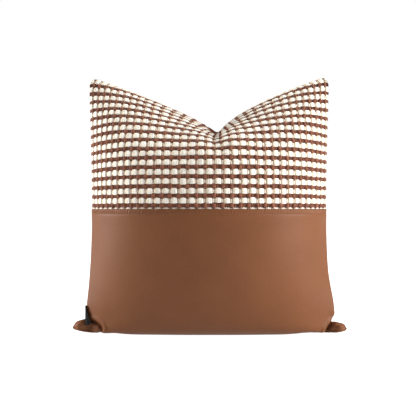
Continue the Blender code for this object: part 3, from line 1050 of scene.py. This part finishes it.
def metal_finish(name, colour):
    finish = Finish(name, colour, 0.34, Metallic=1.0)
    wear = finish.noise(finish.place(), 900, 3)
    finish.colour(finish.mottled(wear, colour, 0.85, 1.1))
    finish.roughness(finish.ramp(wear, [(0.3, 0.27), (0.7, 0.42)]))
    finish.bumps((wear, 0.12, 0.0002))
    return finish.material


# ---- Leather, lining and details ----

def gathered(count):
    """across for each column of a sheet, closer together towards its sides."""
    across = np.linspace(-1, 1, count)
    return (across + GATHER * np.sin(across * math.pi))[:, None]


def leather_lift(below_edge):
    """Height of the leather at this distance below its folded top edge: a rounded fold, a
    groove pulled down by the stitches, then the plain panel."""
    in_fold = 1 - np.clip(below_edge / FOLD_RADIUS, 0, 1)
    fold = FOLD_HEIGHT * np.sqrt(np.clip(1 - in_fold ** 2, 0, 1))
    groove = GROOVE_DEPTH * np.exp(-((below_edge - STITCH_DROP) / GROOVE_HALF_WIDTH) ** 2)
    plain = PLAIN_DROP * smooth_step(*PLAIN_FROM, below_edge)
    return fold - groove - plain - TURN_DROP * np.exp(-below_edge / TURN_FADE)


def build_leather(panel, material):
    across = gathered(LEATHER_COLUMNS)
    edge = np.array([0, 0.0002, 0.0005, 0.0009, 0.0014, 0.002, 0.003, 0.0045, 0.006, 0.007,
                     0.0075, 0.008, 0.0085, 0.009, 0.010, 0.0115, 0.013, 0.0155])
    rest = np.linspace(0, 1, LEATHER_ROWS) ** 1.3 * (1 - edge[-1] / FLAT_HALF)
    below = np.concatenate([edge, (1 - rest[::-1])[1:] * FLAT_HALF])[::-1]
    up = 1 - below[None, :] / FLAT_HALF
    turns = across * FLAT_HALF / (STITCH_LENGTH + STITCH_GAP) + 0.3 * np.sin(across * 61)
    scallop = SCALLOP * np.sin(turns * 2 * math.pi)
    up = up + scallop / FLAT_HALF * np.exp(-below / SCALLOP_FADE)
    taper = smooth_step(0, 0.004, (1 - abs(across)) * FLAT_HALF)
    pucker = PUCKER * np.sin((turns + below / PUCKER_SLANT) * 2 * math.pi)
    pucker = pucker * np.exp(-((below - PUCKER_DROP) / PUCKER_SPREAD) ** 2)
    lift = (leather_lift(below)[None, :] + pucker) * (0.3 + 0.7 * taper)
    outer = panel.at(across, up, lift)
    inner = panel.at(across, up, np.minimum(lift - LEATHER_THICKNESS, -0.0006))
    return shell("front_leather", outer, inner, material)


def build_topstitch(panel, material):
    yarns = Yarns()
    reach = FLAT_HALF * STITCH_REACH
    shares = np.linspace(-0.5, 0.5, 7)
    arch = np.sqrt(np.clip(1 - (2 * shares) ** 4, 0, 1))
    top = leather_lift(STITCH_DROP) - 0.0002 + THREAD_RISE * arch
    half = 0.00015 + 0.00030 * arch
    for centre in np.arange(-reach, reach, STITCH_LENGTH + STITCH_GAP):
        places = (centre + shares * STITCH_LENGTH) / FLAT_HALF
        rings = weft_rings(panel, places, -STITCH_DROP, half, top - 0.0007, top, power=1.0)
        yarns.add(rings, places * FLAT_HALF)
    return yarns.build("topstitch", material)


def build_sheet(panel, name, material, up_range, outer, inner, outward=-1):
    """A closed shell that covers this stretch of one side of the case."""
    across = gathered(SHEET_CELLS)
    up = np.linspace(*up_range, int(SHEET_CELLS * (up_range[1] - up_range[0]) / 2))[None, :]
    taper = 0.4 + 0.6 * edge_taper(across, (up - 1) * FLAT_HALF)
    return shell(name, panel.at(across, up, outer * taper), panel.at(across, up, inner * taper - 0.0002),
                 material, outward)


def build_label(material):
    """A blank satin tab sewn into the left seam, which curls forward over the corner flap. Each
    of its rows is a Bezier curve."""
    share = np.linspace(0, 1, 18)[:, None, None]
    turn = np.linspace(0, 1, 16)[None, :, None]
    weight = np.concatenate([share ** LABEL_SPREAD, share ** LABEL_SPREAD, share], axis=2)
    root, out, end = (top + (foot - top) * weight for top, foot in zip(LABEL_TOP, LABEL_FOOT))
    outer = root * (1 - turn) ** 2 + 2 * out * turn * (1 - turn) + end * turn ** 2
    outer[..., 1] -= LABEL_THICKNESS * (np.sin(turn * math.pi) * np.sin(share * 9))[..., 0]
    inner = outer - LABEL_THICKNESS * surface_normals(outer)
    return shell("blank_label", outer, inner, material, outward=1)


def box_of(node):
    low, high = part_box(node)
    return np.array(low), np.array(high)


def build_coil(node, name, material, side):
    """One row of the coil zipper: a fine helix whose turns reach over the middle."""
    low, high = box_of(node)
    _, y, z = (low + high) / 2
    turns = int((high[0] - low[0] - 2 * COIL_END) / COIL_PITCH)
    angle = np.linspace(0, 2 * math.pi * turns, turns * 10 + 1)
    start = low[0] + COIL_END + (COIL_PITCH / 2 if side > 0 else 0)
    curve = bpy.data.curves.new(name, "CURVE")
    curve.dimensions = "3D"
    curve.bevel_depth = COIL_WIRE
    curve.bevel_resolution = 1
    curve.use_fill_caps = True
    spline = curve.splines.new("POLY")
    spline.points.add(len(angle) - 1)
    points = np.stack([start + COIL_PITCH * angle / (2 * math.pi), y + COIL_HALF_WIDTH * np.cos(angle),
                       z + COIL_HALF_HEIGHT * np.sin(angle), np.ones_like(angle)], axis=1)
    spline.points.foreach_set("co", points.astype(np.float32).ravel())
    curve.materials.append(material)
    obj = new_object(name, curve)
    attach(obj, "pillow")
    return obj


def build_tape(node, name, material, side):
    """Woven zipper tape with a thicker edge by the coil and a slight ripple."""
    low, high = box_of(node)
    near, far = (low[1], high[1]) if side > 0 else (high[1], low[1])
    x, share = np.meshgrid(np.linspace(low[0], high[0], 240), np.linspace(0, 1, 12), indexing="ij")
    y = near + (far - near) * share
    middle = (low[2] + high[2]) / 2 + TAPE_RIPPLE * np.sin(x * 95) * share
    thick = TAPE_HALF + TAPE_EDGE * np.exp(-((share - 0.06) / 0.05) ** 2)
    top, under = (np.stack([x, y, z], axis=-1) for z in (middle + thick, middle - thick))
    return shell(name, top, under, material, outward=-side)


def build_insert(front, back, name, material, scale):
    """A closed pillow form inside the case."""
    front_at, back_at, faces = closed_pair(INSERT_CELLS + 1)
    across = np.linspace(-1, 1, INSERT_CELLS + 1)[:, None]
    up = np.linspace(0, 2, INSERT_CELLS + 1)[None, :]
    points = np.zeros((back_at.max() + 1, 3))
    for panel, at in ((back, back_at), (front, front_at)):
        grid = INSERT_CENTRE + (panel.at(across, up, INSERT_LIFT) - INSERT_CENTRE) * scale
        grid[..., 0] = np.clip(grid[..., 0], -INSERT_REACH, INSERT_REACH)
        grid[..., 1] = np.sign(grid[..., 1]) * np.clip(abs(grid[..., 1]) - INSERT_GAP, 0, None)
        for edge in EDGES:
            grid[edge] *= (1, 0, 1)
        points[at] = grid
    return add_piece(name, points, faces, material)


# ---- Studio ----

def softbox(name, place, size, power):
    light = bpy.data.lights.new(name, "AREA")
    light.shape = "RECTANGLE"
    light.size, light.size_y = size
    light.energy = power
    obj = new_object(name, light)
    obj.location = place
    obj.rotation_euler = (LIGHT_AIM - Vector(place)).to_track_quat("-Z", "Y").to_euler()


def seen_or_lit(tree, seen, lit, strength):
    """One strength where the backdrop is seen, and another for the light that it gives."""
    is_seen = tree.nodes.new("ShaderNodeLightPath").outputs["Is Camera Ray"]
    choice = tree.nodes.new("ShaderNodeMapRange")
    choice.inputs["To Min"].default_value = lit
    choice.inputs["To Max"].default_value = seen
    tree.links.new(is_seen, choice.inputs["Value"])
    tree.links.new(choice.outputs["Result"], strength)


def build_studio():
    paper = Finish("paper", (0.35, 0.35, 0.35), 0.95, Specular_IOR_Level=0.0)
    paper.shader.inputs["Emission Color"].default_value = (1, 1, 1, 1)
    glow = paper.shader.inputs["Emission Strength"]
    seen_or_lit(paper.material.node_tree, FLOOR_SEEN, FLOOR_LIGHT, glow)
    floor = new_object("floor", new_mesh("floor", FLOOR_CORNERS, [(0, 1, 2, 3)]))
    floor.data.materials.append(paper.material)

    world = bpy.data.worlds.new("studio")
    world.use_nodes = True
    background = world.node_tree.nodes["Background"]
    background.inputs["Color"].default_value = (1, 1, 1, 1)
    seen_or_lit(world.node_tree, 1.0, WORLD_LIGHT, background.inputs["Strength"])
    bpy.context.scene.world = world
    bpy.context.scene.view_settings.view_transform = "Standard"
    for name, (place, size, power) in LIGHTS.items():
        softbox(name, place, size, power)


def place_camera():
    data = bpy.data.cameras.new("camera")
    data.sensor_width = SENSOR
    data.lens = SENSOR * CAMERA_DISTANCE / VIEW_WIDTH
    camera = new_object("camera", data)
    back = Vector((0, -math.cos(CAMERA_ELEVATION), math.sin(CAMERA_ELEVATION)))
    camera.location = TARGET + CAMERA_DISTANCE * back
    camera.rotation_euler = (-back).to_track_quat("-Z", "Y").to_euler()
    bpy.context.scene.camera = camera


def replace(piece, slot, *nodes, fill=None):
    """Puts a piece in the place of CAD nodes. fill is not used."""
    for node in nodes:
        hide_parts(node)
    return piece


def add_weave(panel, rng):
    """The woven panel: a backing, two wefts that alternate, and two warps."""
    # The backing is a real sheet that keeps light from passing between the yarns; its dark colour is
    # painted shade for the gaps.
    backing_shade_cloth = cloth_finish("woven_backing", srgb(62, 36, 26))
    # The cream yarn's tint is painted shade: beige in the low gaps between beads, full colour on the
    # beads.
    cream = yarn_finish("cream_yarn", srgb(207, 201, 191), 0.9, 1.03, fibre=0.55,
                        painted_shade_bands=[(0.12, (0.86, 0.78, 0.66)), (0.30, (1.0, 1.0, 1.0))])
    # The brown yarn's tint is painted shade: full colour on the raised knots at the gaps, darker on the
    # low links under the beads.
    brown = yarn_finish("brown_yarn", srgb(106, 63, 46), 0.62, 1.3, fibre=0.6,
                        painted_shade_bands=[(0.25, 1.0), (0.75, 0.75)])
    taupe = yarn_finish("taupe_warp", srgb(180, 157, 133), 0.8, 1.12)
    rib = yarn_finish("brown_warp", srgb(112, 68, 50), 0.85, 1.1)
    backing = build_sheet(panel, "woven_backing", backing_shade_cloth, (0.975, 2), BACKING_LIFT,
                          BACKING_LIFT - 0.0006)
    replace(backing, "woven_fabric", "front_woven_panel", fill=0.85)
    for piece in (cream_rows(panel, cream, rng), brown_rows(panel, brown, rng),
                  warps(panel, "woven_warp_taupe", taupe, (0.45,), 0.0008, 0.0009, -0.0022, rng),
                  warps(panel, "woven_warp_brown", rib, (-0.12, 0.12), 0.0005, -0.0022, 0.0009, rng)):
        replace(piece, "woven_fabric", "front_woven_panel")


def add_zipper(nodes):
    """Coils and brass metal parts, and the tapes, which it returns."""
    nylon = yarn_finish("zipper_nylon", srgb(86, 56, 42), 0.9, 1.1, fibre=0.1, roughness=0.45)
    cloth = cloth_finish("zipper_tape", srgb(92, 60, 44), pitch=0.0007)
    brass = metal_finish("antique_brass", srgb(150, 122, 82))
    for side, sign in SIDES:
        node = f"zipper_coil_{side}"
        replace(build_coil(node, f"coil_{side}", nylon, sign), "zipper_nylon", node)
    tapes = []
    for side, sign in SIDES:
        node = f"zipper_tape_{side}"
        tapes.append(replace(build_tape(node, f"tape_{side}", cloth, sign), "zipper_tape", node))
    for node in ("zipper_slider", "zipper_pull_tab", "zipper_top_stop", "zipper_bottom_stop"):
        nodes[node].material_slots[0].material = brass
    return tapes


def add_insert(front, back):
    ticking = cloth_finish("insert_cloth", srgb(226, 224, 218))
    fibre = cloth_finish("polyester_fibre", srgb(238, 238, 236), pitch=0.003, roughness=0.95)
    replace(build_insert(front, back, "insert_cover", ticking, 0.95),
            "insert_cloth", "insert_front_shell", "insert_back_shell", fill=0.9)
    replace(build_insert(front, back, "insert_filling", fibre, 0.93),
            "polyester_fibre", "insert_fill", fill=0.9)


def main():
    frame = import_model()
    rng = np.random.default_rng(SEED)
    front, back = (Panel(grid, sign) for grid, (_, sign) in zip(filled_case(), SIDES))

    leather = leather_finish("brown_leather", srgb(98, 60, 37))
    replace(build_leather(front, leather), "brown_leather", "front_leather_panel", fill=0.85)
    add_weave(front, rng)
    plain = leather_finish("plain_back", srgb(104, 64, 42), grain=0.3, roughness=0.55)
    cover = build_sheet(back, "back_cover", plain, (0, 2), 0.0002, -0.0008, outward=1)
    replace(cover, "plain_back", "back_panel", fill=0.85)
    thread = yarn_finish("brown_thread", srgb(112, 72, 50), 0.85, 1.15)
    replace(build_topstitch(front, thread), "brown_thread", "panel_topstitch")
    satin = satin_finish("black_satin", srgb(9, 8, 8))
    label = replace(build_label(satin), "black_label", "side_label")
    tapes = add_zipper(frame["nodes"])
    add_insert(front, back)
    build_studio()
    place_camera()


main()
